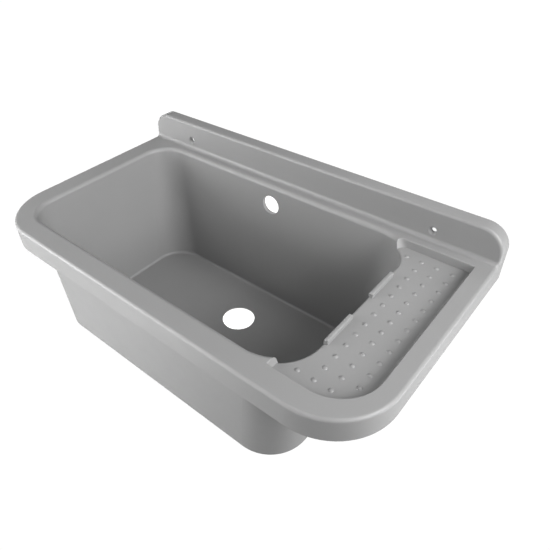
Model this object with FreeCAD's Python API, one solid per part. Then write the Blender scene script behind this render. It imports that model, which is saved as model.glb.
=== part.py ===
"""Wall-hung utility sink: one moulded basin with a soap tray, its waste and its overflow.

Millimetres, +Z up. The origin is on the wall, half way between the two screw holes.
+X is to the right of someone who stands at the sink, and the front of the sink faces -Y.
The pieces are drawn with Z = 0 on top of the rim and are lowered to the origin at the end.
"""
import FreeCAD
import Part

import math
import os

V = FreeCAD.Vector

# Rim and backsplash
sink_length = 600.0
sink_depth = 337.0
wall = 3.5
skirt_height = 31.7
side_flare = 2.0
rim_corner_radius = 79.0
edge_radius = 4.0
backsplash_height = 44.0
backsplash_thickness = 20.0
backsplash_corner_radius = 30.0
backsplash_foot_radius = 5.5
rib_thickness = 3.0
backsplash_rib_pitch = 90.0
backsplash_rib_count = 5
gusset_pitch = 80.0
gusset_count = 3

# Screw holes in the backsplash
screw_spacing = 431.0
screw_above_rim = 14.5
screw_hole_radius = 3.5
countersink_radius = 6.2
countersink_depth = 2.4
screw_boss_radius = 9.0
screw_boss_height = 2.0

# Bowl: rim widths beside its opening, and how far each wall leans in at the floor
left_rim = 34.5
front_rim = 32.0
back_rim = 38.0
bowl_depth = 207.0
bowl_left_radius = 40.0
bowl_right_radius = 57.0
bowl_back_right_radius = 46.0
floor_left_radius = 31.0
floor_right_radius = 55.0
floor_back_radius = 50.0
left_lean = 13.5
right_lean = 21.0
front_lean = 7.0
back_lean = 12.0
floor_fillet = 4.5
tub_fillet = 10.5
bowl_edge_radius = 6.0

# Soap tray, its lips and its pimples
tray_right_rim = 20.2
tray_width = 76.3
tray_front_rim = 28.7
tray_back_rim = 38.0
tray_overlap = 25.0
tray_depth = 11.5
tray_front_radius = 52.0
tray_corner_radius = 12.0
tray_wide_fillet = 5.0
tray_edge_radius = 0.8
tray_draft = 0.5
tray_front_slope = 1.5
tray_back_slope = 6.0
tray_lip_edge_radius = 2.5
lip_length = 50.0
lip_width = 5.0
lip_height = 6.5
lip_pitch = 92.0
pimple_radius = 3.0
pimple_height = 1.3
pimple_pitch_x = 20.0
pimple_pitch_y = 19.45
pimple_edge_x = 17.9
pimple_edge_y = 17.0
pimple_margin = 7.0

# Drain hole and the waste under it
drain_radius = 26.0
hole_edge = 1.2
drain_from_wall = 127.0
collar_wall = 4.0
collar_shortfall = 1.0
gasket_thickness = 3.0
flange_width = 8.0
flange_thickness = 12.0
waste_wall = 2.5
waste_bore_step = 0.5
waste_cup_depth = 74.0
waste_cone_height = 12.0
ledge_below_floor = 40.0
ledge_width = 3.5
ledge_thickness = 3.0
tail_radius = 20.0
tail_length = 38.0
nut_wall = 6.0
nut_lip = 4.5
nut_lug_count = 8
nut_lug_radius = 4.0

# Lift-out strainer
strainer_clearance = 0.6
strainer_rim_thickness = 2.5
strainer_wall = 1.5
strainer_height = 20.0
strainer_floor = 2.0
strainer_slot_count = 12
strainer_slot_width = 3.0
strainer_hole_radius = 1.8
strainer_hole_ring = 13.0
strainer_hole_count = 10
strainer_post_radius = 3.0
strainer_post_height = 5.0
strainer_knob_radius = 5.0
strainer_knob_height = 3.0

# Overflow behind the back wall
overflow_radius = 15.0
overflow_below_rim = 32.5
overflow_collar_wall = 3.5
overflow_collar_shortfall = 0.5
overflow_gasket_thickness = 1.5
overflow_flange_width = 5.0
overflow_flange_thickness = 3.5
overflow_nut_wall = 4.0
overflow_nut_lip = 3.0
elbow_wall = 2.0

# Overflow pipe and the joints at its ends
pipe_radius = 8.0
pipe_wall = 1.5
pipe_bend_radius = 30.0
pipe_insertion = 15.0
inlet_below_floor = 56.0
inlet_reach = 30.0
socket_wall = 2.0
seal_thickness = 2.5
pipe_nut_wall = 2.8
pipe_nut_lip = 3.5
pipe_nut_length = 18.0
pipe_nut_ridge_count = 10
pipe_nut_ridge_radius = 0.8

# Clearances
thread_clearance = 0.3
slip_clearance = 0.3
seat_clearance = 0.5
seal_clearance = 0.1
wall_clearance = 0.5
elbow_clearance = 1.0
overcut = 5.0

# Places worked out from the sizes above
half_length = sink_length / 2
bowl_left = -half_length + left_rim
tray_right = half_length - tray_right_rim
bowl_right = tray_right - tray_width
bowl_front = -sink_depth + front_rim
bowl_back = -back_rim
bowl_middle_x = (bowl_left + bowl_right) / 2
bowl_middle_y = (bowl_front + bowl_back) / 2
underside = -bowl_depth - wall
drain_place = V(bowl_middle_x, -drain_from_wall, underside)
tray_left = bowl_right - tray_overlap
tray_front = -sink_depth + tray_front_rim
tray_back = -tray_back_rim

seat_radius = drain_radius + waste_bore_step + flange_width
waste_bore = drain_radius + waste_bore_step
collar_bore = seat_radius + seat_clearance
collar_radius = collar_bore + collar_wall
flange_top = underside - gasket_thickness
flange_bottom = flange_top - flange_thickness
collar_end = flange_bottom + collar_shortfall
nut_bore = collar_radius + thread_clearance
nut_radius = nut_bore + nut_wall
cup_radius = waste_bore + waste_wall
cup_bottom = flange_top - waste_cup_depth
ledge_top = underside - ledge_below_floor
ledge_bore = drain_radius - strainer_clearance - ledge_width
tail_bore = tail_radius - waste_wall
tail_top = cup_bottom - waste_cone_height
tail_bottom = tail_top - tail_length

pipe_fit = pipe_radius + slip_clearance
socket_radius = pipe_fit + socket_wall
pipe_nut_bore = socket_radius + thread_clearance
pipe_nut_radius = pipe_nut_bore + pipe_nut_wall
pipe_y = -wall - wall_clearance - elbow_clearance - socket_radius
overflow_z = -overflow_below_rim
elbow_back = pipe_y + socket_radius + elbow_clearance
elbow_flange_back = pipe_y - socket_radius - elbow_clearance - overflow_nut_lip
elbow_flange_front = elbow_flange_back - overflow_flange_thickness
overflow_seat_y = elbow_flange_front - overflow_gasket_thickness
overflow_seat_radius = overflow_radius + overflow_flange_width
overflow_collar_bore = overflow_seat_radius + seat_clearance
overflow_collar_radius = overflow_collar_bore + overflow_collar_wall
overflow_collar_end = elbow_flange_back - overflow_collar_shortfall
elbow_radius = overflow_radius + seat_clearance
overflow_nut_bore = overflow_collar_radius + thread_clearance
overflow_nut_radius = overflow_nut_bore + overflow_nut_wall
pipe_nut_reach = seal_thickness + pipe_nut_lip
elbow_end = overflow_z - overflow_nut_radius - elbow_clearance - pipe_nut_length + pipe_nut_reach
inlet_z = underside - inlet_below_floor
inlet_end = drain_place.y + cup_radius + inlet_reach


def rounded(points, radii):
    """A closed wire round a flat polygon whose corners have their own radii."""
    starts, ends, arcs = [], [], []
    for index, (corner, radius) in enumerate(zip(points, radii)):
        come = (corner - points[index - 1]).normalize()
        leave = (points[(index + 1) % len(points)] - corner).normalize()
        half_turn = come.getAngle(leave) / 2
        reach = radius * math.tan(half_turn)
        starts.append(corner - come * reach)
        ends.append(corner + leave * reach)
        inwards = (leave - come).normalize() * (radius / math.cos(half_turn) - radius)
        if radius > 0:
            arcs.append(Part.Arc(starts[-1], corner + inwards, ends[-1]).toShape())
        else:
            arcs.append(None)
    edges = []
    for index, arc in enumerate(arcs):
        if arc:
            edges.append(arc)
        edges.append(Part.LineSegment(ends[index], starts[(index + 1) % len(points)]).toShape())
    return Part.Wire(edges)


def outline(x0, x1, y0, y1, z, front_left, front_right, back_right, back_left):
    return rounded(
        [V(x0, y0, z), V(x1, y0, z), V(x1, y1, z), V(x0, y1, z)],
        [front_left, front_right, back_right, back_left])


def prism(wire, height):
    return Part.Face(wire).extrude(V(0, 0, height))


def block(x0, x1, y0, y1, z0, z1):
    return Part.makeBox(x1 - x0, y1 - y0, z1 - z0, V(x0, y0, z0))


def cylinder(radius, start, end):
    axis = end - start
    return Part.makeCylinder(radius, axis.Length, start, axis)


def tube(outer, bore, start, end):
    reach = (end - start).normalize() * overcut
    return cylinder(outer, start, end).cut(cylinder(bore, start - reach, end + reach))


def edges_at(shape, z):
    """The edges that lie wholly at one height."""
    return [e for e in shape.Edges if abs(e.BoundBox.ZMin - z) < 1e-4 and abs(e.BoundBox.ZMax - z) < 1e-4]


def over_drain(z):
    return V(drain_place.x, drain_place.y, z)


def over_overflow(y, z=overflow_z):
    return V(drain_place.x, y, z)


def bowl_wire(z, share, grow):
    """The bowl's inner outline, from the rim (share 0) to the floor (share 1), grown outwards."""
    left = bowl_left_radius + (floor_left_radius - bowl_left_radius) * share + grow
    right = bowl_right_radius + (floor_right_radius - bowl_right_radius) * share + grow
    back_right = bowl_back_right_radius + (floor_back_radius - bowl_back_right_radius) * share + grow
    back_left = bowl_left_radius + (floor_back_radius - bowl_left_radius) * share + grow
    return outline(
        bowl_left + left_lean * share - grow, bowl_right - right_lean * share + grow,
        bowl_front + front_lean * share - grow, bowl_back - back_lean * share + grow,
        z, left, right, back_right, back_left)


def bowl_form(depth, grow, fillet):
    """The bowl as a solid that narrows downwards, its floor edge rounded."""
    form = Part.makeLoft([bowl_wire(0, 0, grow), bowl_wire(-depth, 1, grow)], True, True)
    return form.makeFillet(fillet, edges_at(form, -depth))


def flared(stem, wider, level, radius):
    """A cutting form that rounds the edge of the opening it leaves at one height."""
    form = stem.fuse(prism(wider, overcut / 2)).removeSplitter()
    inner = [e for e in edges_at(form, level) if stem.distToShape(e)[0] < 1e-4]
    return form.makeFillet(radius, inner)


def bowl_mouth(level, radius):
    """What rounds the edge of the bowl's opening over, at the height of the rim or of the tray."""
    share = -level / bowl_depth
    foot = level - 2 * radius
    stem = Part.makeLoft(
        [bowl_wire(level, share, 0), bowl_wire(foot, -foot / bowl_depth, 0)], True, True)
    return flared(stem, bowl_wire(level, share, radius + 1), level, radius)


def tray_wire(z, grow):
    """The tray's recess seen from above at one height: its walls lean in, and the one by the bowl slopes."""
    share = -z / tray_depth
    lean = tray_draft * share - grow
    return rounded([
        V(tray_left + tray_front_slope * share - grow, tray_front + lean, z), V(tray_right - lean, tray_front + lean, z),
        V(tray_right - lean, tray_back - lean, z), V(tray_left + tray_back_slope * share - grow, tray_back - lean, z)],
        [0, tray_front_radius - lean, 0, tray_corner_radius + grow])


def tray_hollow():
    """The recess of the soap tray: its floor widely rounded at the right and the front, its upper edge broken."""
    step = tray_edge_radius * (1 - math.sqrt(0.5))
    recess = Part.makeLoft([
        tray_wire(-tray_depth, 0), tray_wire(-tray_edge_radius, 0),
        tray_wire(-step, step), tray_wire(0, tray_edge_radius)], True, True)
    wide = [
        e for e in edges_at(recess, -tray_depth)
        if e.BoundBox.XMax > tray_left + 2 * tray_back_slope and e.BoundBox.YMin < tray_back - 2 * tray_corner_radius]
    return recess.makeFillet(tray_wide_fillet, wide)


def lips():
    bars = []
    for side in (-1, 1):
        y = bowl_middle_y + side * lip_pitch / 2
        x = bowl_right - right_lean * tray_depth / bowl_depth
        top = lip_height - tray_depth
        bar = block(x, x + lip_width, y - lip_length / 2, y + lip_length / 2, -tray_depth - wall, top)
        bars.append(bar.makeFillet(lip_width * 0.3, edges_at(bar, top)))
    return bars


def pimples():
    """Small domes in rows on the tray, left out where the bowl or the tray's wall is too near."""
    ball_radius = (pimple_radius ** 2 + pimple_height ** 2) / (2 * pimple_height)
    centre_z = -tray_depth + pimple_height - ball_radius
    margin = outline(
        tray_left, tray_right - pimple_margin, tray_front + pimple_margin, tray_back - pimple_margin,
        0, 0, tray_front_radius - pimple_margin, 0, 0)
    free = Part.Face(margin).cut(Part.Face(bowl_wire(0, 0, pimple_margin)))
    rows = int((tray_back - tray_front) / pimple_pitch_y)
    columns = int((tray_right - tray_left) / pimple_pitch_x)
    domes = []
    for row in range(rows):
        for column in range(columns):
            x = tray_right - pimple_edge_x - column * pimple_pitch_x
            y = tray_back - pimple_edge_y - row * pimple_pitch_y
            if free.distToShape(Part.Vertex(x, y, 0))[0] < 1e-4:
                ball = Part.makeSphere(ball_radius, V(x, y, centre_z))
                base = -tray_depth - wall / 2
                keep = cylinder(pimple_radius * 1.2, V(x, y, base), V(x, y, pimple_height))
                domes.append(ball.common(keep))
    return domes


def side_at(y):
    """Half the sink's length, which grows a little towards the wall."""
    return half_length + side_flare * (1 + y / sink_depth)


def rim_wire(z, inset):
    """The rim seen from above, its front corners round."""
    front = -sink_depth + inset
    corner = rim_corner_radius - inset
    side, back = side_at(-sink_depth) - inset, side_at(0) - inset
    return rounded(
        [V(-side, front, z), V(side, front, z), V(back, -inset, z), V(-back, -inset, z)],
        [corner, corner, 0, 0])


def backsplash_wire(y, inset, foot):
    """The backsplash seen from the front: square at the foot, round at its upper corners."""
    side = side_at(y) - inset
    top = backsplash_height - inset
    radius = backsplash_corner_radius - inset
    return rounded(
        [V(-side, y, foot), V(side, y, foot), V(side, y, top), V(-side, y, top)], [0, 0, radius, radius])


def rim_and_backsplash():
    """The rim block and the backsplash, hollow-rounded where they meet, their outer edge rounded in one run."""
    front = -backsplash_thickness
    radius = backsplash_foot_radius
    lean = radius * (1 - math.sqrt(0.5))
    rim = prism(rim_wire(-skirt_height, 0), skirt_height)
    panel = Part.makeLoft(
        [backsplash_wire(front, 0, -skirt_height), backsplash_wire(0, 0, -skirt_height)], True, True)
    x = -side_at(0)
    foot = Part.Wire([
        Part.LineSegment(V(x, front, radius), V(x, front + wall, radius)).toShape(),
        Part.LineSegment(V(x, front + wall, radius), V(x, front + wall, -wall)).toShape(),
        Part.LineSegment(V(x, front + wall, -wall), V(x, front - radius, -wall)).toShape(),
        Part.LineSegment(V(x, front - radius, -wall), V(x, front - radius, 0)).toShape(),
        Part.Arc(V(x, front - radius, 0), V(x, front - lean, lean), V(x, front, radius)).toShape(),
    ])
    foot = Part.Face(foot).extrude(V(2 * side_at(0), 0, 0))
    foot = foot.common(prism(rim_wire(-2 * wall, 0), 2 * wall + 2 * radius))
    body = rim.fuse([panel, foot]).removeSplitter()
    outer = []
    for e in body.Edges:
        box = e.BoundBox
        on_rim = abs(box.ZMin) < 1e-4 and box.ZMax < 1e-4 and box.YMin < front - radius - 1
        on_panel = box.YMin > front - 1e-4 and box.YMax < front + 1e-4 and box.ZMax > radius + 1
        on_foot = (box.YMin > front - radius - 1e-4 and box.YMax < front + 1e-4
                   and box.ZMin > -1e-4 and box.ZMax < radius + 1e-4 and box.XLength < 1)
        if on_rim or on_panel or on_foot:
            outer.append(e)
    return body.makeFillet(edge_radius, outer)


def backsplash_hollow():
    """The pocket behind the backsplash, open to the wall, with ribs and screw bosses left in it."""
    front = -backsplash_thickness + wall
    pocket = Part.Face(backsplash_wire(front, wall, 0)).extrude(V(0, overcut - front, 0))
    kept = []
    for index in range(backsplash_rib_count):
        x = (index - (backsplash_rib_count - 1) / 2) * backsplash_rib_pitch
        kept.append(block(x - rib_thickness / 2, x + rib_thickness / 2, front, 0, 0, backsplash_height))
    for side in (-1, 1):
        place = V(side * screw_spacing / 2, front, screw_above_rim)
        kept.append(cylinder(screw_boss_radius, place, place + V(0, screw_boss_height, 0)))
    return pocket.cut(kept)


def rim_hollow(tub):
    """The space under the rim and the tray, open below, with gussets left under the tray."""
    space = prism(rim_wire(-skirt_height - overcut, wall), skirt_height + overcut - wall)
    pan = prism(outline(
        tray_left - wall, tray_right + wall, tray_front - wall, tray_back + wall, -tray_depth - wall,
        0, tray_front_radius + wall, 0, 0), tray_depth + wall)
    gussets = []
    for index in range(gusset_count):
        y = (tray_front + tray_back) / 2 + (index - (gusset_count - 1) / 2) * gusset_pitch
        gussets.append(block(
            tray_left, side_at(y), y - rib_thickness / 2, y + rib_thickness / 2, -skirt_height, 0))
    return space.cut([tub, pan] + gussets)


def screw_holes():
    holes = []
    front = -backsplash_thickness
    for side in (-1, 1):
        x = side * screw_spacing / 2
        holes.append(cylinder(screw_hole_radius, V(x, front - overcut, screw_above_rim), V(x, 0, screw_above_rim)))
        holes.append(Part.makeCone(
            countersink_radius, screw_hole_radius, countersink_depth, V(x, front, screw_above_rim), V(0, 1, 0)))
    return holes


def sink_basin():
    """The moulding: rim, skirt, bowl, soap tray, backsplash and the collars for waste and overflow."""
    tub = bowl_form(bowl_depth + wall, wall, tub_fillet)
    waste_collar = cylinder(collar_radius, over_drain(collar_end), over_drain(underside + wall / 2))
    waste_seat = cylinder(collar_bore, over_drain(collar_end - overcut), over_drain(underside))
    drain_hole = cylinder(drain_radius, over_drain(underside - overcut), over_drain(-bowl_depth + overcut))
    drain_flare = Part.makeCone(
        drain_radius + wall - hole_edge, drain_radius, wall - hole_edge, over_drain(underside), V(0, 0, 1))
    overflow_collar = cylinder(
        overflow_collar_radius, over_overflow(bowl_back - wall), over_overflow(overflow_collar_end))
    overflow_seat = cylinder(
        overflow_collar_bore, over_overflow(overflow_seat_y), over_overflow(overflow_collar_end + overcut))
    overflow_hole = cylinder(
        overflow_radius, over_overflow(bowl_back - 2 * back_lean), over_overflow(overflow_seat_y + overcut))
    body = rim_and_backsplash().fuse(tub)
    body = body.cut([rim_hollow(tub), backsplash_hollow()])
    body = body.fuse([waste_collar, overflow_collar])
    tray_floor = tray_wire(-tray_depth, 0)
    tray_floor.translate(V(0, 0, -2 * overcut))
    tray_mouth = bowl_mouth(-tray_depth, tray_lip_edge_radius).common(prism(tray_floor, 3 * overcut))
    body = body.cut([bowl_form(bowl_depth, 0, floor_fillet), bowl_mouth(0, bowl_edge_radius)])
    body = body.cut([tray_hollow(), tray_mouth])
    body = body.fuse(lips() + pimples())
    body = body.cut([waste_seat, drain_hole, drain_flare, overflow_seat, overflow_hole] + screw_holes())
    return body


def drain_gasket():
    return tube(seat_radius, waste_bore, over_drain(flange_top), over_drain(underside))


def waste_body():
    """Cup, strainer ledge, side inlet for the overflow and the tail that a trap slides on to."""
    flange = cylinder(seat_radius, over_drain(flange_bottom), over_drain(flange_top))
    cup = cylinder(cup_radius, over_drain(cup_bottom), over_drain(flange_top))
    cone = Part.makeCone(tail_radius, cup_radius, waste_cone_height, over_drain(tail_top), V(0, 0, 1))
    tail = cylinder(tail_radius, over_drain(tail_bottom), over_drain(tail_top))
    inlet = cylinder(socket_radius, over_drain(inlet_z), V(drain_place.x, inlet_end, inlet_z))
    upper_bore = cylinder(waste_bore, over_drain(ledge_top), over_drain(flange_top + overcut))
    ledge_hole = cylinder(ledge_bore, over_drain(cup_bottom), over_drain(flange_top))
    lower_bore = cylinder(waste_bore, over_drain(cup_bottom), over_drain(ledge_top - ledge_thickness))
    cone_bore = Part.makeCone(tail_bore, waste_bore, waste_cone_height, over_drain(tail_top), V(0, 0, 1))
    tail_hole = cylinder(tail_bore, over_drain(tail_bottom - overcut), over_drain(cup_bottom))
    inlet_bore = cylinder(pipe_fit, over_drain(inlet_z), V(drain_place.x, inlet_end + overcut, inlet_z))
    body = flange.fuse([cup, cone, tail, inlet])
    return body.cut([upper_bore, ledge_hole, lower_bore, cone_bore, tail_hole, inlet_bore])


def drain_nut():
    """Ring nut with finger lugs: it turns on the basin's collar and carries the waste by its flange."""
    top = underside - slip_clearance
    bottom = flange_bottom - nut_lip
    body = cylinder(nut_radius, over_drain(bottom), over_drain(top))
    lugs = []
    for index in range(nut_lug_count):
        angle = 2 * math.pi * index / nut_lug_count
        place = V(nut_radius * math.cos(angle), nut_radius * math.sin(angle), 0)
        lugs.append(cylinder(nut_lug_radius, over_drain(bottom) + place, over_drain(top - nut_lip) + place))
    body = body.fuse(lugs)
    thread = cylinder(nut_bore, over_drain(flange_bottom), over_drain(top + overcut))
    neck = cylinder(cup_radius + slip_clearance, over_drain(bottom - overcut), over_drain(top))
    return body.cut([thread, neck])


def strainer():
    """Slotted basket that hangs by its rim on the ledge of the waste and lifts out by its knob."""
    rim_radius = drain_radius - strainer_clearance
    basket_radius = ledge_bore - seat_clearance
    bottom = ledge_top - strainer_height
    rim = cylinder(rim_radius, over_drain(ledge_top), over_drain(ledge_top + strainer_rim_thickness))
    basket = cylinder(basket_radius, over_drain(bottom), over_drain(ledge_top + strainer_rim_thickness))
    inside = cylinder(
        basket_radius - strainer_wall, over_drain(bottom + strainer_floor), over_drain(ledge_top + overcut))
    body = rim.fuse(basket).cut(inside)
    cuts = []
    for index in range(strainer_slot_count):
        slot = block(
            0, basket_radius + overcut, -strainer_slot_width / 2, strainer_slot_width / 2,
            bottom + 2 * strainer_floor, ledge_top - strainer_floor)
        slot.rotate(V(0, 0, 0), V(0, 0, 1), 360.0 * index / strainer_slot_count)
        slot.translate(V(drain_place.x, drain_place.y, 0))
        cuts.append(slot)
    for index in range(strainer_hole_count):
        angle = 2 * math.pi * index / strainer_hole_count
        place = V(strainer_hole_ring * math.cos(angle), strainer_hole_ring * math.sin(angle), 0)
        cuts.append(cylinder(
            strainer_hole_radius, over_drain(bottom - overcut) + place, over_drain(bottom + overcut) + place))
    post_top = ledge_top + strainer_post_height
    post = cylinder(strainer_post_radius, over_drain(bottom), over_drain(post_top))
    knob = cylinder(strainer_knob_radius, over_drain(post_top), over_drain(post_top + strainer_knob_height))
    knob = knob.makeFillet(strainer_knob_height * 0.4, knob.Edges)
    return body.cut(cuts).fuse([post, knob])


def overflow_gasket():
    return tube(
        overflow_seat_radius, elbow_radius, over_overflow(overflow_seat_y), over_overflow(elbow_flange_front))


def overflow_elbow():
    """Chamber behind the overflow hole, with a socket that points down for the pipe."""
    flange = cylinder(overflow_seat_radius, over_overflow(elbow_flange_front), over_overflow(elbow_flange_back))
    chamber = cylinder(elbow_radius, over_overflow(elbow_flange_front), over_overflow(elbow_back))
    socket = cylinder(socket_radius, over_overflow(pipe_y), over_overflow(pipe_y, elbow_end))
    bore = elbow_radius - elbow_wall
    hole = cylinder(bore, over_overflow(elbow_flange_front - overcut), over_overflow(elbow_back - elbow_wall))
    drop = cylinder(pipe_fit, over_overflow(pipe_y), over_overflow(pipe_y, elbow_end - overcut))
    return flange.fuse([chamber, socket]).cut([hole, drop])


def overflow_nut():
    end = elbow_flange_back + overflow_nut_lip
    start = overflow_seat_y + slip_clearance
    body = cylinder(overflow_nut_radius, over_overflow(start), over_overflow(end))
    thread = cylinder(overflow_nut_bore, over_overflow(start - overcut), over_overflow(elbow_flange_back))
    neck = cylinder(elbow_radius + slip_clearance, over_overflow(start), over_overflow(end + overcut))
    return body.cut([thread, neck])


def overflow_pipe():
    """Pipe from the elbow down behind the bowl and forward under the floor into the waste."""
    bend = pipe_bend_radius
    start = over_overflow(pipe_y, elbow_end + pipe_insertion)
    bend_start = over_overflow(pipe_y, inlet_z + bend)
    lean = bend * (1 - math.sqrt(0.5))
    bend_middle = over_overflow(pipe_y - lean, inlet_z + lean)
    bend_end = over_overflow(pipe_y - bend, inlet_z)
    end = over_overflow(inlet_end - pipe_insertion, inlet_z)
    path = Part.Wire([
        Part.LineSegment(start, bend_start).toShape(),
        Part.Arc(bend_start, bend_middle, bend_end).toShape(),
        Part.LineSegment(bend_end, end).toShape(),
    ])
    solids = []
    for radius in (pipe_radius, pipe_radius - pipe_wall):
        section = Part.Wire([Part.makeCircle(radius, start, V(0, 0, 1))])
        solids.append(path.makePipeShell([section], True, False))
    return solids[0].cut(solids[1])


def pipe_seal(end, way):
    return tube(socket_radius, pipe_radius + seal_clearance, end, end + way * seal_thickness)


def pipe_nut(end, way):
    """Ridged nut that squeezes a seal between the end of a socket and its own lip."""
    outer_end = end + way * pipe_nut_reach
    start = outer_end - way * pipe_nut_length
    body = cylinder(pipe_nut_radius, start, outer_end)
    across = way.cross(V(1, 0, 0))
    ridges = []
    for index in range(pipe_nut_ridge_count):
        angle = 2 * math.pi * index / pipe_nut_ridge_count
        place = (V(1, 0, 0) * math.cos(angle) + across * math.sin(angle)) * pipe_nut_radius
        ridges.append(cylinder(pipe_nut_ridge_radius, start + place, outer_end + place))
    thread = cylinder(pipe_nut_bore, start - way * overcut, end + way * seal_thickness)
    neck = cylinder(pipe_fit, start, outer_end + way * overcut)
    return body.fuse(ridges).cut([thread, neck])


def main():
    upper_end = over_overflow(pipe_y, elbow_end)
    lower_end = over_overflow(inlet_end, inlet_z)
    down = V(0, 0, -1)
    backward = V(0, 1, 0)
    pieces = {
        "sink_basin": sink_basin(),
        "drain_gasket": drain_gasket(),
        "waste_body": waste_body(),
        "drain_nut": drain_nut(),
        "strainer": strainer(),
        "overflow_gasket": overflow_gasket(),
        "overflow_elbow": overflow_elbow(),
        "overflow_nut": overflow_nut(),
        "overflow_pipe": overflow_pipe(),
        "upper_pipe_seal": pipe_seal(upper_end, down),
        "upper_pipe_nut": pipe_nut(upper_end, down),
        "lower_pipe_seal": pipe_seal(lower_end, backward),
        "lower_pipe_nut": pipe_nut(lower_end, backward),
    }
    os.makedirs("parts", exist_ok=True)
    for name, shape in pieces.items():
        shape = shape.removeSplitter()
        shape.translate(V(0, 0, -screw_above_rim))
        shape.exportStep(os.path.join("parts", name + ".step"))
        print(name, len(shape.Solids), "solid", shape.isValid(), round(shape.Volume / 1000, 2), "cm3")


main()
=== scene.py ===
"""Finishes of a wall-hung utility sink, and the white studio it is shown in."""
import math

import bpy
from bpy.props import FloatProperty, FloatVectorProperty, PointerProperty
from mathutils import Matrix, Vector

bl_info = {
    "name": "Utility sink finishes",
    "version": (1, 0, 0),
    "blender": (4, 5, 0),
    "location": "3D View > Sidebar > Sink",
    "description": "Finishes of a moulded utility sink with its waste and overflow, and its studio",
    "category": "Object",
}

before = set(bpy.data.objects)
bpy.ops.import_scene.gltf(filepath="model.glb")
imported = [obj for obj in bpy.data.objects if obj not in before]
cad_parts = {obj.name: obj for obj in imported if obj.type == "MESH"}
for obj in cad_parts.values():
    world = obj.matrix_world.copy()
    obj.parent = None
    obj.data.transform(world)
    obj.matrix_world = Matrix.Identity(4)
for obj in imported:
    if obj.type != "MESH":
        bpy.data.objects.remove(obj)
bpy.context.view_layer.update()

# Bores whose walls get a painted glow, an emission standing in for light through the pale
# plastic: a point on the axis, the way from there that glows, and a radius
DRAIN_BORE = ((-0.031, -0.127, -0.266), (0, 0, 1), 0.0268)
STRAINER_TOP = ((-0.031, -0.127, -0.2626), (0, 0, 1), 0.0268)
STRAINER_BORE = ((-0.031, -0.127, -0.272), (0, 0, 1), 0.0205)
OVERFLOW_BORE = ((-0.031, -0.0055, -0.047), (0, -1, 0), 0.0137)
OVERFLOW_FACE = ((-0.031, -0.0325, -0.047), (0, -1, 0), 0.0159)
OVERFLOW_DROP = ((-0.031, -0.0153, -0.047), (0, 0, -1), 0.0085)
PIPE_TOP = ((-0.031, -0.0153, -0.086), (0, 0, 1), 0.0085)
FITTINGS = {
    "waste_body": (DRAIN_BORE,),
    "drain_nut": (),
    "strainer": (STRAINER_TOP, STRAINER_BORE),
    "overflow_elbow": (OVERFLOW_BORE, OVERFLOW_FACE, OVERFLOW_DROP),
    "overflow_nut": (),
    "overflow_pipe": (PIPE_TOP,),
    "upper_pipe_nut": (),
    "lower_pipe_nut": (),
}
GASKETS = {
    "drain_gasket": (DRAIN_BORE,),
    "overflow_gasket": (OVERFLOW_FACE,),
    "upper_pipe_seal": (),
    "lower_pipe_seal": (),
}

# Soft boxes by their distance and side in metres. Each has an azimuth from the front to the left,
# an elevation, both in degrees, and a brightness.
SOFT_BOXES = {
    (2.2, 0.9): ((-80, 25, 13.14), (-100, 42, 11.05), (120, -10, 8.0), (160, -10, 10.0)),
    (2.2, 1.8): ((-80, 25, 1.34),),
    (1.1, 0.9): ((45, 25, 3.3),),
    (1.1, 0.5): (
        (30, 25, 2.58), (30, 5, 3.78), (45, 5, 10.78), (30, -25, 7.22), (60, 45, 1.16),
        (60, 65, 1.07), (180, 45, 2.24), (-120, 65, 1.64), (-90, 25, 5.54), (-120, -10, 2.46),
        (-120, -25, 3.23), (-90, -25, 1.61)),
}
LIGHT_TARGET = Vector((0, -0.17, -0.08))
FLOOR_SIDE = 16
PAPER_WHITE = 1.02
IMAGE_SIDE = 550
NOISE_RANGE = (0.3, 0.7)


class SINK_PG_basin(bpy.types.PropertyGroup):
    """Finish of the moulded basin."""
    colour: FloatVectorProperty(
        name="Colour", description="Grey of the moulded plastic", subtype="COLOR",
        size=3, min=0, max=1, default=(0.206, 0.206, 0.206))
    roughness: FloatProperty(
        name="Roughness", description="How satin the surface is", subtype="FACTOR",
        min=0, max=1, default=0.5)
    grain_width: FloatProperty(
        name="Grain width", description="Size of the mould's fine grain", unit="LENGTH",
        min=0.0001, default=0.0008)
    grain_depth: FloatProperty(
        name="Grain depth", description="Height of the mould's fine grain", unit="LENGTH",
        min=0, default=0.00003)


class SINK_PG_fitting(bpy.types.PropertyGroup):
    """Finish of the off-white waste and overflow pieces."""
    colour: FloatVectorProperty(
        name="Colour", description="Off-white of the moulded plastic", subtype="COLOR",
        size=3, min=0, max=1, default=(0.55, 0.55, 0.54))
    roughness: FloatProperty(
        name="Roughness", description="How glossy the surface is", subtype="FACTOR",
        min=0, max=1, default=0.3)
    # Strength of the painted glow, an emission on the bore walls that is no lamp
    painted_glow: FloatProperty(
        name="Painted glow", description="Brightness of the light inside the bores",
        min=0, default=0.8)


class SINK_PG_gasket(bpy.types.PropertyGroup):
    """Finish of the gaskets and seals."""
    colour: FloatVectorProperty(
        name="Colour", description="White of the silicone", subtype="COLOR",
        size=3, min=0, max=1, default=(0.7, 0.7, 0.69))
    roughness: FloatProperty(
        name="Roughness", description="How dull the silicone is", subtype="FACTOR",
        min=0, max=1, default=0.55)


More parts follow.
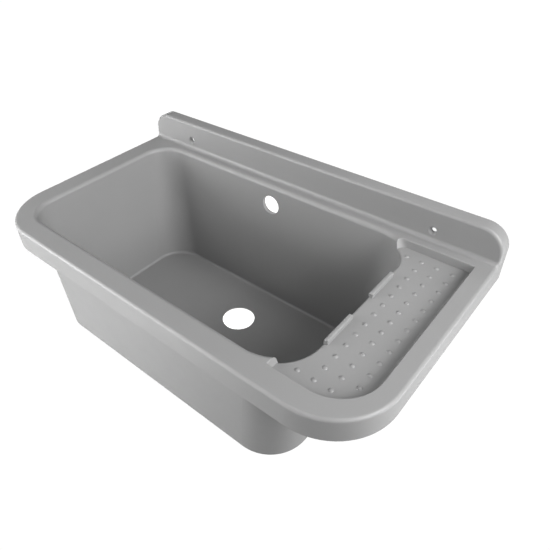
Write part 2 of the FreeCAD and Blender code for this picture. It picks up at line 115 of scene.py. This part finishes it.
class SINK_PG_studio(bpy.types.PropertyGroup):
    """Camera and floor."""
    camera_place: FloatVectorProperty(
        name="Camera place", description="Where the camera stands", subtype="TRANSLATION",
        size=3, default=(0.3997, -0.5723, 0.3900))
    camera_turn: FloatProperty(
        name="Turn", description="Camera's turn to the left", subtype="ANGLE",
        default=math.radians(41.21))
    camera_pitch: FloatProperty(
        name="Pitch", description="How far the camera looks down", subtype="ANGLE",
        default=math.radians(38.53))
    camera_roll: FloatProperty(
        name="Roll", description="Camera's roll about its own axis", subtype="ANGLE",
        default=math.radians(-2.12))
    focal_length: FloatProperty(
        name="Focal length", description="In widths of the image",
        min=0.1, default=526.3 / IMAGE_SIDE)
    image_centre: FloatVectorProperty(
        name="Image centre", description="Where the lens axis meets the image, in its pixels",
        size=2, default=(255.2, 260.7))
    floor_height: FloatProperty(
        name="Floor height", description="Height of the floor under the hung sink", unit="LENGTH",
        default=-0.8)
    floor_glow: FloatProperty(
        name="Floor glow", description="Light that the white floor gives the sink",
        min=0, default=0.05)


def new_material(name):
    """A new material, its nodes and links, and its Principled shader."""
    material = bpy.data.materials.new(name)
    material.use_nodes = True
    nodes = material.node_tree.nodes
    return material, nodes, material.node_tree.links, nodes["Principled BSDF"]


def noise(nodes, links, size, detail=3):
    """Noise on Object coordinates whose lumps are about the given size in metres."""
    place = nodes.new("ShaderNodeTexCoord")
    texture = nodes.new("ShaderNodeTexNoise")
    texture.inputs["Scale"].default_value = 1 / size
    texture.inputs["Detail"].default_value = detail
    links.new(place.outputs["Object"], texture.inputs["Vector"])
    return texture.outputs["Fac"]


def spread(nodes, links, value, low, high):
    """Maps a noise value on to a range."""
    node = nodes.new("ShaderNodeMapRange")
    node.inputs["From Min"].default_value, node.inputs["From Max"].default_value = NOISE_RANGE
    node.inputs["To Min"].default_value = low
    node.inputs["To Max"].default_value = high
    links.new(value, node.inputs["Value"])
    return node.outputs["Result"]


def mottle(nodes, links, shader, value, colour, low, high):
    """Makes the colour slightly darker and lighter by a noise value."""
    node = nodes.new("ShaderNodeMix")
    node.data_type = "RGBA"
    node.inputs["A"].default_value = [c * low for c in colour] + [1]
    node.inputs["B"].default_value = [c * high for c in colour] + [1]
    links.new(spread(nodes, links, value, 0, 1), node.inputs["Factor"])
    links.new(node.outputs["Result"], shader.inputs["Base Color"])


def vary_roughness(nodes, links, shader, value, roughness, margin):
    """Makes the surface slightly rougher and smoother by a noise value."""
    rough = spread(nodes, links, value, roughness - margin, roughness + margin)
    links.new(rough, shader.inputs["Roughness"])


def grain(nodes, links, shader, size, height):
    """Fine bump all over."""
    bump = nodes.new("ShaderNodeBump")
    bump.inputs["Distance"].default_value = height
    links.new(noise(nodes, links, size), bump.inputs["Height"])
    links.new(bump.outputs["Normal"], shader.inputs["Normal"])


def vector_math(nodes, links, operation, value, other=(0, 0, 0)):
    """A Vector Math node on a linked vector and a fixed one."""
    node = nodes.new("ShaderNodeVectorMath")
    node.operation = operation
    links.new(value, node.inputs[0])
    node.inputs[1].default_value = other
    return node.outputs["Value" if operation in ("LENGTH", "DOT_PRODUCT") else "Vector"]


def value_math(nodes, links, operation, value, other):
    """A Math node on a linked value and a number or a second linked value."""
    node = nodes.new("ShaderNodeMath")
    node.operation = operation
    links.new(value, node.inputs[0])
    if isinstance(other, bpy.types.NodeSocket):
        links.new(other, node.inputs[1])
    else:
        node.inputs[1].default_value = other
    return node.outputs["Value"]


def in_bore(nodes, links, place, point, way, radius):
    """1 where a place is nearer to the bore's axis than its radius and past its point, else 0."""
    offset = vector_math(nodes, links, "SUBTRACT", place, point)
    across = vector_math(nodes, links, "CROSS_PRODUCT", offset, way)
    distance = vector_math(nodes, links, "LENGTH", across)
    along = vector_math(nodes, links, "DOT_PRODUCT", offset, way)
    inside = value_math(nodes, links, "LESS_THAN", distance, radius)
    beyond = value_math(nodes, links, "GREATER_THAN", along, 0)
    return value_math(nodes, links, "MULTIPLY", inside, beyond)


def painted_glow(nodes, links, shader, bores, brightness):
    """Painted glow inside bores, standing in for light through thin pale plastic from outside."""
    place = nodes.new("ShaderNodeTexCoord").outputs["Object"]
    glow_mask = in_bore(nodes, links, place, *bores[0])
    for bore in bores[1:]:
        here = in_bore(nodes, links, place, *bore)
        glow_mask = value_math(nodes, links, "MAXIMUM", glow_mask, here)
    # Painted glow: the masked bore walls give off white light themselves
    shader.inputs["Emission Color"].default_value = (1, 1, 1, 1)
    strength = value_math(nodes, links, "MULTIPLY", glow_mask, brightness)
    links.new(strength, shader.inputs["Emission Strength"])


def white_to_camera(nodes, links, glow):
    """Strength of a surface that the camera sees as paper white and that lights the sink less."""
    node = nodes.new("ShaderNodeMapRange")
    ray = nodes.new("ShaderNodeLightPath")
    links.new(ray.outputs["Is Camera Ray"], node.inputs["Value"])
    node.inputs["To Min"].default_value = glow
    node.inputs["To Max"].default_value = PAPER_WHITE
    return node.outputs["Result"]


def dress(node, material):
    """Gives a CAD node its finish."""
    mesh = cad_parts[node].data
    mesh.materials.clear()
    mesh.materials.append(material)


class SINK_OT_basin(bpy.types.Operator):
    """Give the basin its satin grey plastic"""
    bl_idname = "sink.basin"
    bl_label = "Basin"

    def execute(self, context):
        finish = context.scene.sink_basin
        material, nodes, links, shader = new_material("satin_grey_plastic")
        clouds = noise(nodes, links, size=0.09, detail=4)
        mottle(nodes, links, shader, clouds, finish.colour, low=0.985, high=1.015)
        patches = noise(nodes, links, size=0.03)
        vary_roughness(nodes, links, shader, patches, finish.roughness, margin=0.03)
        grain(nodes, links, shader, finish.grain_width, finish.grain_depth)
        dress("sink_basin", material)
        return {"FINISHED"}


class SINK_OT_fittings(bpy.types.Operator):
    """Give the waste and the overflow their off-white plastic"""
    bl_idname = "sink.fittings"
    bl_label = "Fittings"

    def execute(self, context):
        finish = context.scene.sink_fitting
        for node, bores in FITTINGS.items():
            dress(node, self.plastic(finish, node, bores))
        return {"FINISHED"}

    def plastic(self, finish, node, bores):
        """Glossy plastic of one fitting, with a painted glow inside its bores."""
        material, nodes, links, shader = new_material(node + "_plastic")
        clouds = noise(nodes, links, size=0.02)
        mottle(nodes, links, shader, clouds, finish.colour, low=0.97, high=1.0)
        patches = noise(nodes, links, size=0.01)
        vary_roughness(nodes, links, shader, patches, finish.roughness, margin=0.05)
        grain(nodes, links, shader, size=0.0008, height=0.00002)
        # Painted glow in the bores: emission, not light from the soft boxes
        if bores:
            painted_glow(nodes, links, shader, bores, finish.painted_glow)
        return material


class SINK_OT_gaskets(bpy.types.Operator):
    """Give the gaskets and seals their white silicone"""
    bl_idname = "sink.gaskets"
    bl_label = "Gaskets"

    def execute(self, context):
        # light here is the strength of the painted glow in the gaskets' bores
        finish, light = context.scene.sink_gasket, context.scene.sink_fitting.painted_glow
        for node, bores in GASKETS.items():
            dress(node, self.silicone(finish, light, node, bores))
        return {"FINISHED"}

    def silicone(self, finish, light, node, bores):
        """Dull silicone of one gasket, with a painted glow inside its bores."""
        material, nodes, links, shader = new_material(node + "_silicone")
        clouds = noise(nodes, links, size=0.01)
        mottle(nodes, links, shader, clouds, finish.colour, low=0.96, high=1.0)
        shader.inputs["Roughness"].default_value = finish.roughness
        grain(nodes, links, shader, size=0.0006, height=0.00004)
        # Painted glow in the bores, as for the fittings
        if bores:
            painted_glow(nodes, links, shader, bores, light)
        return material


class SINK_OT_stage(bpy.types.Operator):
    """Set up the white floor, the soft boxes and the camera"""
    bl_idname = "sink.stage"
    bl_label = "Stage"

    def execute(self, context):
        scene, studio = context.scene, context.scene.sink_studio
        self.floor(studio)
        self.surround(scene)
        for (distance, side), boxes in SOFT_BOXES.items():
            for azimuth, elevation, brightness in boxes:
                self.soft_box(scene, azimuth, elevation, distance, side, brightness)
        self.camera(scene, studio)
        scene.view_settings.view_transform = "Standard"
        return {"FINISHED"}

    def floor(self, studio):
        """Plain white floor, well below the hung sink."""
        bpy.ops.object.select_all(action="DESELECT")
        bpy.ops.mesh.primitive_plane_add(size=FLOOR_SIDE, location=(0, 0, studio.floor_height))
        floor = bpy.context.object
        floor.name = "floor"
        material, nodes, links, shader = new_material("white_floor")
        shader.inputs["Base Color"].default_value = (0, 0, 0, 1)
        shader.inputs["Specular IOR Level"].default_value = 0
        shader.inputs["Emission Color"].default_value = (1, 1, 1, 1)
        strength = white_to_camera(nodes, links, studio.floor_glow)
        links.new(strength, shader.inputs["Emission Strength"])
        floor.data.materials.append(material)

    def surround(self, scene):
        """White round the studio, as the camera sees it, that gives no light."""
        world = bpy.data.worlds.new("surround")
        world.use_nodes = True
        nodes, links = world.node_tree.nodes, world.node_tree.links
        links.new(white_to_camera(nodes, links, 0), nodes["Background"].inputs["Strength"])
        nodes["Background"].inputs["Color"].default_value = (1, 1, 1, 1)
        scene.world = world

    def soft_box(self, scene, azimuth, elevation, distance, side, brightness):
        """A square soft box that faces the sink; azimuth counts from the front to the left."""
        turn, rise = math.radians(azimuth), math.radians(elevation)
        way = Vector((
            -math.sin(turn) * math.cos(rise), -math.cos(turn) * math.cos(rise), math.sin(rise)))
        light = bpy.data.lights.new("soft_box", "AREA")
        light.size = side
        light.energy = brightness * math.pi * side ** 2
        lamp = bpy.data.objects.new("soft_box", light)
        lamp.location = LIGHT_TARGET + way * distance
        lamp.rotation_euler = (-way).to_track_quat("-Z", "Y").to_euler()
        lamp.visible_camera = False
        scene.collection.objects.link(lamp)

    def camera(self, scene, studio):
        """Camera at the viewing angle, its shift set by the image centre."""
        lens = bpy.data.cameras.new("camera")
        lens.sensor_fit = "HORIZONTAL"
        lens.lens = studio.focal_length * lens.sensor_width
        lens.shift_x = 0.5 - studio.image_centre[0] / IMAGE_SIDE
        lens.shift_y = studio.image_centre[1] / IMAGE_SIDE - 0.5
        lens.clip_start = 0.01
        camera = bpy.data.objects.new("camera", lens)
        camera.matrix_world = (
            Matrix.Translation(studio.camera_place)
            @ Matrix.Rotation(studio.camera_turn, 4, "Z")
            @ Matrix.Rotation(math.pi / 2 - studio.camera_pitch, 4, "X")
            @ Matrix.Rotation(studio.camera_roll, 4, "Z"))
        scene.collection.objects.link(camera)
        scene.camera = camera


OPERATORS = (SINK_OT_basin, SINK_OT_fittings, SINK_OT_gaskets, SINK_OT_stage)


class SINK_PT_panel(bpy.types.Panel):
    """Lists the sink's finishes and its stage"""
    bl_idname = "SINK_PT_panel"
    bl_label = "Utility sink"
    bl_space_type = "VIEW_3D"
    bl_region_type = "UI"
    bl_category = "Sink"

    def draw(self, context):
        for operator in OPERATORS:
            self.layout.operator(operator.bl_idname)


GROUPS = (SINK_PG_basin, SINK_PG_fitting, SINK_PG_gasket, SINK_PG_studio)
CLASSES = GROUPS + OPERATORS + (SINK_PT_panel,)


def register():
    for cls in CLASSES:
        bpy.utils.register_class(cls)
    bpy.types.Scene.sink_basin = PointerProperty(type=SINK_PG_basin)
    bpy.types.Scene.sink_fitting = PointerProperty(type=SINK_PG_fitting)
    bpy.types.Scene.sink_gasket = PointerProperty(type=SINK_PG_gasket)
    bpy.types.Scene.sink_studio = PointerProperty(type=SINK_PG_studio)


def unregister():
    del bpy.types.Scene.sink_studio
    del bpy.types.Scene.sink_gasket
    del bpy.types.Scene.sink_fitting
    del bpy.types.Scene.sink_basin
    for cls in reversed(CLASSES):
        bpy.utils.unregister_class(cls)


def main():
    register()
    bpy.ops.sink.basin()
    bpy.ops.sink.fittings()
    bpy.ops.sink.gaskets()
    bpy.ops.sink.stage()


if __name__ == "__main__":
    main()
